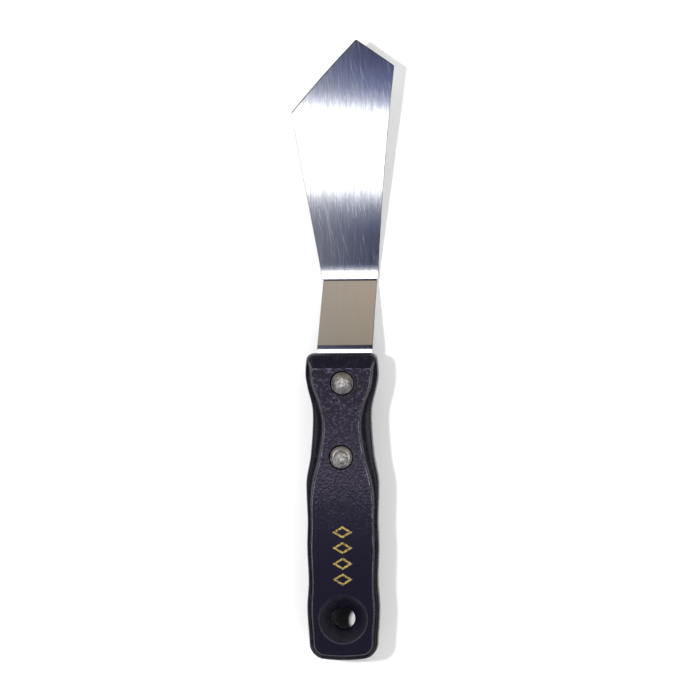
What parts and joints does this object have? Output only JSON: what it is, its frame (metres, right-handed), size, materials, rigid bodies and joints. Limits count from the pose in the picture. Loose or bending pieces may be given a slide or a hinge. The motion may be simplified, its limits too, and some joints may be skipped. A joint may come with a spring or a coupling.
{
  "type": "palette knife",
  "caption": "Five-cornered steel painting blade on a cranked neck, riveted between two black moulded handle scales with finger swells, a bevelled rim and a dished hanging hole.",
  "frame": {"origin": "on the hanging hole's axis, on the plane where the two handle scales meet", "axes": "+Y along the handle towards the blade's tip, +Z out of the front face, +X to the right seen from the front"},
  "size_m": [0.0405, 0.2418, 0.0155],
  "materials": {
    "blade_steel": "brushed lengthwise",
    "handle_plastic": "pebbled face, smooth bevel and rim",
    "rivet_metal": "nickel-plated, hammered",
    "gold_foil": "hot-stamped foil, slightly worn"
  },
  "bodies": {
    "root": {"blade": "blade_steel", "front_scale": "handle_plastic", "back_scale": "handle_plastic", "front_rivet_post": "rivet_metal", "front_rivet_socket": "rivet_metal", "rear_rivet_post": "rivet_metal", "rear_rivet_socket": "rivet_metal", "foil_mark": "gold_foil"}
  },
  "joints": []
}
